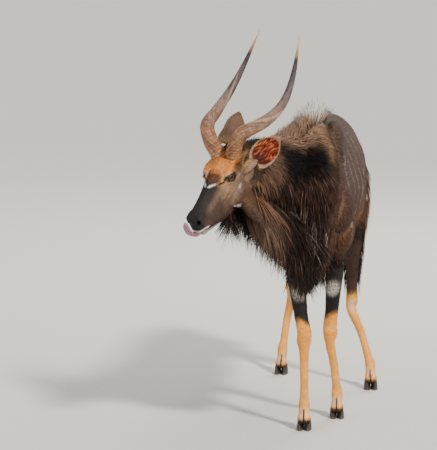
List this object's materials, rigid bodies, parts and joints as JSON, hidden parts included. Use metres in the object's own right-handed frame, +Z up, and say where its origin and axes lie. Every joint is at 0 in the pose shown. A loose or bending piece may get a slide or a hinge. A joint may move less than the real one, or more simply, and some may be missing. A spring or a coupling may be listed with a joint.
{
  "type": "nyala bull",
  "caption": "Life-size standing nyala bull, still, with its head turned to its right, lyre-shaped horns, long throat mane and tongue licking its nose.",
  "frame": {"origin": "centre of the bounding box at floor level, between the four hooves", "axes": "+Z up, -Y the way the body faces, +X the animal's left"},
  "size_m": [0.5804, 1.597, 1.3404],
  "materials": {
    "body_coat": "short dark brown-grey fur with thin whitish stripes",
    "long_coat": "long shaggy dark brown hair",
    "face_coat": "very short brown fur with white marks",
    "leg_coat": "short orange-brown fur",
    "ear_skin": "thin furred skin, reddish inside",
    "horn": "ridged keratin with pale tips",
    "hoof": "dark smooth keratin",
    "eye": "wet gloss",
    "tongue": "wet pink skin"
  },
  "bodies": {
    "root": {"head": "face_coat", "neck": "long_coat", "torso": "body_coat", "tail": "long_coat", "foreleg_left": "leg_coat", "foreleg_right": "leg_coat", "hindleg_left": "leg_coat", "hindleg_right": "leg_coat", "ear_left": "ear_skin", "ear_right": "ear_skin", "eye_left": "eye", "eye_right": "eye", "horn_left": "horn", "horn_right": "horn", "tongue": "tongue", "hoof_fore_left_inner": "hoof", "hoof_fore_left_outer": "hoof", "hoof_fore_right_inner": "hoof", "hoof_fore_right_outer": "hoof", "hoof_hind_left_inner": "hoof", "hoof_hind_left_outer": "hoof", "hoof_hind_right_inner": "hoof", "hoof_hind_right_outer": "hoof"}
  },
  "joints": []
}
